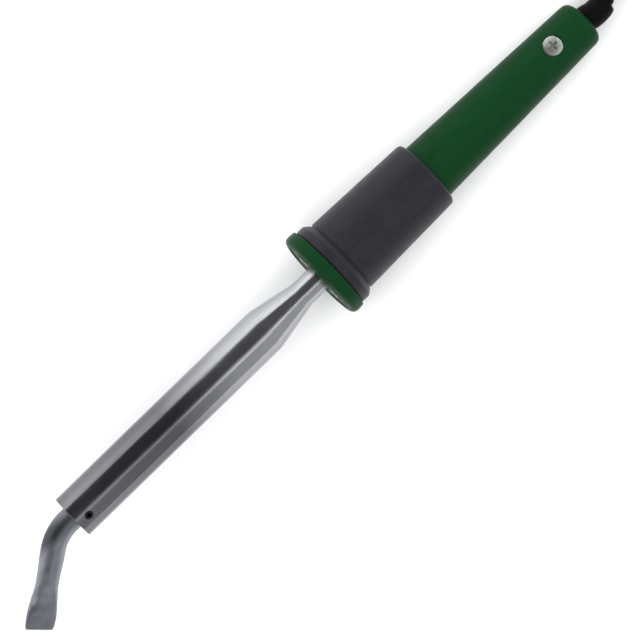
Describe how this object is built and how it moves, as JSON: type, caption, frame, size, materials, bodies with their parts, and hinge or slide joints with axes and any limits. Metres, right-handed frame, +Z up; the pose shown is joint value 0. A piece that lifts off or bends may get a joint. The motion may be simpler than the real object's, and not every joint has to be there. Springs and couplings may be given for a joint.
{
  "type": "soldering iron",
  "caption": "Mains soldering iron with a bent forged tip, chromed barrel, green flanged handle, dark grip sleeve and a tied lead with an earthed round-pin plug.",
  "frame": {"origin": "on the table, under the middle of the iron's own length and width, without its lead and plug", "axes": "+Z up, +X along the iron from its tip towards its lead, -Y the side that the tip bends to; the iron's axis is tilted 4.08 degrees, tip up, as it rests on its flange and on the handle's rear rim"},
  "size_m": [0.5542, 0.0552, 0.0379],
  "materials": {
    "plated_tip": "satin",
    "chromed_steel": "polished",
    "bush_steel": "satin",
    "screw_steel": "satin",
    "set_screw_steel": "satin",
    "heater_ceramic": "matte",
    "resistance_wire": "satin",
    "mica": "satin",
    "nickel_wire": "satin",
    "glass_sleeving": "matte",
    "plate_steel": "satin",
    "green_plastic": "satin",
    "grip_rubber": "matte",
    "terminal_plastic": "matte",
    "terminal_brass": "satin",
    "live_insulation": "matte",
    "neutral_insulation": "matte",
    "earth_insulation": "matte",
    "slug_nylon": "matte",
    "relief_rubber": "matte",
    "lead_sheath": "matte",
    "tie_strap": "matte",
    "plug_plastic": "matte",
    "pin_nickel": "polished"
  },
  "bodies": {
    "iron": {"barrel_tube": "chromed_steel", "nose_bush": "bush_steel", "heater_former": "heater_ceramic", "heater_winding": "resistance_wire", "mica_wrap": "mica", "rear_insulator": "heater_ceramic", "heater_leads": "nickel_wire", "lead_sleeves": "glass_sleeving", "barrel_collar": "plate_steel", "earth_tag": "nickel_wire", "front_flange": "green_plastic", "flange_screws": "screw_steel", "handle_shell": "green_plastic", "grip_sleeve": "grip_rubber", "terminal_block": "terminal_plastic", "terminal_inserts": "terminal_brass", "terminal_screws": "screw_steel", "live_core": "live_insulation", "neutral_core": "neutral_insulation", "earth_core": "earth_insulation", "clamp_slug": "slug_nylon", "clamp_screw": "screw_steel", "strain_relief": "relief_rubber", "cord": "lead_sheath", "cord_hank": "lead_sheath", "cord_ties": "tie_strap", "plug_lead": "lead_sheath", "plug_body": "plug_plastic", "plug_pins": "pin_nickel", "plug_earth_clips": "pin_nickel"},
    "bent_tip": {"tip": "plated_tip"},
    "set_screw": {"tip_set_screw": "set_screw_steel"}
  },
  "joints": [
    {"name": "tip_slide", "type": "slide", "parent": "iron", "child": "bent_tip", "axis": [-0.9975, 0, 0.0712], "range_m": [0, 0.07]},
    {"name": "set_screw_out", "type": "slide", "parent": "iron", "child": "set_screw", "axis": [0.0645, -0.4226, 0.904], "range_m": [0, 0.0045]}
  ]
}
